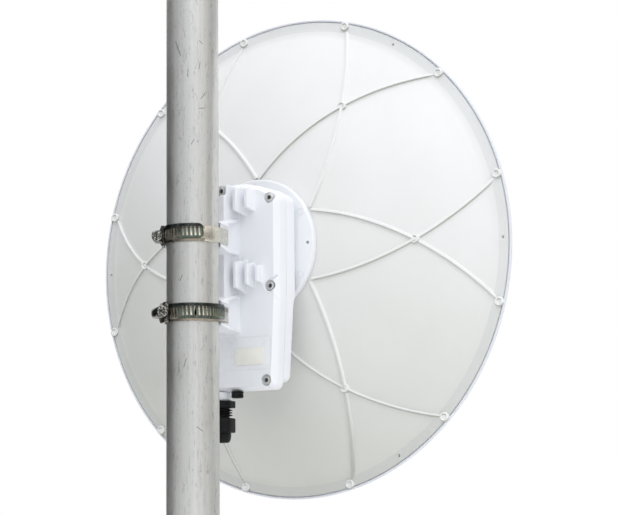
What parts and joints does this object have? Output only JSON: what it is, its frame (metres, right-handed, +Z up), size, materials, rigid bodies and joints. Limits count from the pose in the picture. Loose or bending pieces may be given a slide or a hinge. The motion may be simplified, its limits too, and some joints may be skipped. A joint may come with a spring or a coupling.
{
  "type": "microwave dish antenna",
  "caption": "Parabolic dish antenna with a curved-rib back, a finned radio box and a feed, strapped to a steel pole by worm-drive hose clamps.",
  "frame": {"origin": "centre of the flat lower end of the pole", "axes": "+Z up along the pole, -Y is where the dish looks, +X is to the dish's left as seen from behind"},
  "size_m": [0.4, 0.2721, 0.6033],
  "materials": {
    "pole_steel": "weathered galvanised tube with fine upright streaks and scratches",
    "dish_plastic": "satin white moulding",
    "box_paint": "cool white powder coat on a die casting",
    "feed_plastic": "smooth white moulding",
    "black_plastic": "black polyamide",
    "seal_rubber": "dull",
    "band_steel": "bright rolled stainless strip",
    "screw_steel": "machined stainless",
    "bare_aluminium": "turned",
    "label_film": "blank white film",
    "sticker_paper": "blank cream paper"
  },
  "bodies": {
    "root": {"pole": "pole_steel", "pole_foot_plug": "black_plastic", "pole_top_cap": "black_plastic", "reflector": "dish_plastic", "hub_plate": "dish_plastic", "radio_base": "box_paint", "lid_gasket": "seal_rubber", "rear_cover": "box_paint", "cover_screw_top": "screw_steel", "cover_screw_upper_left": "screw_steel", "cover_screw_upper_right": "screw_steel", "cover_screw_middle_left": "screw_steel", "cover_screw_middle_right": "screw_steel", "cover_screw_lower_left": "screw_steel", "cover_screw_lower_right": "screw_steel", "label_plate": "label_film", "label_sticker": "sticker_paper", "vent_plug": "black_plastic", "gland_boss": "box_paint", "gland_body": "black_plastic", "gland_nut": "black_plastic", "gland_seal": "seal_rubber", "upper_clamp_band": "band_steel", "upper_clamp_housing": "band_steel", "upper_clamp_screw": "screw_steel", "lower_clamp_band": "band_steel", "lower_clamp_housing": "band_steel", "lower_clamp_screw": "screw_steel", "feed_flange": "feed_plastic", "feed_tube": "feed_plastic", "feed_cone": "feed_plastic", "sub_reflector": "bare_aluminium", "feed_cap": "feed_plastic", "flange_screw_1": "screw_steel", "flange_screw_2": "screw_steel", "flange_screw_3": "screw_steel", "flange_screw_4": "screw_steel"}
  },
  "joints": []
}
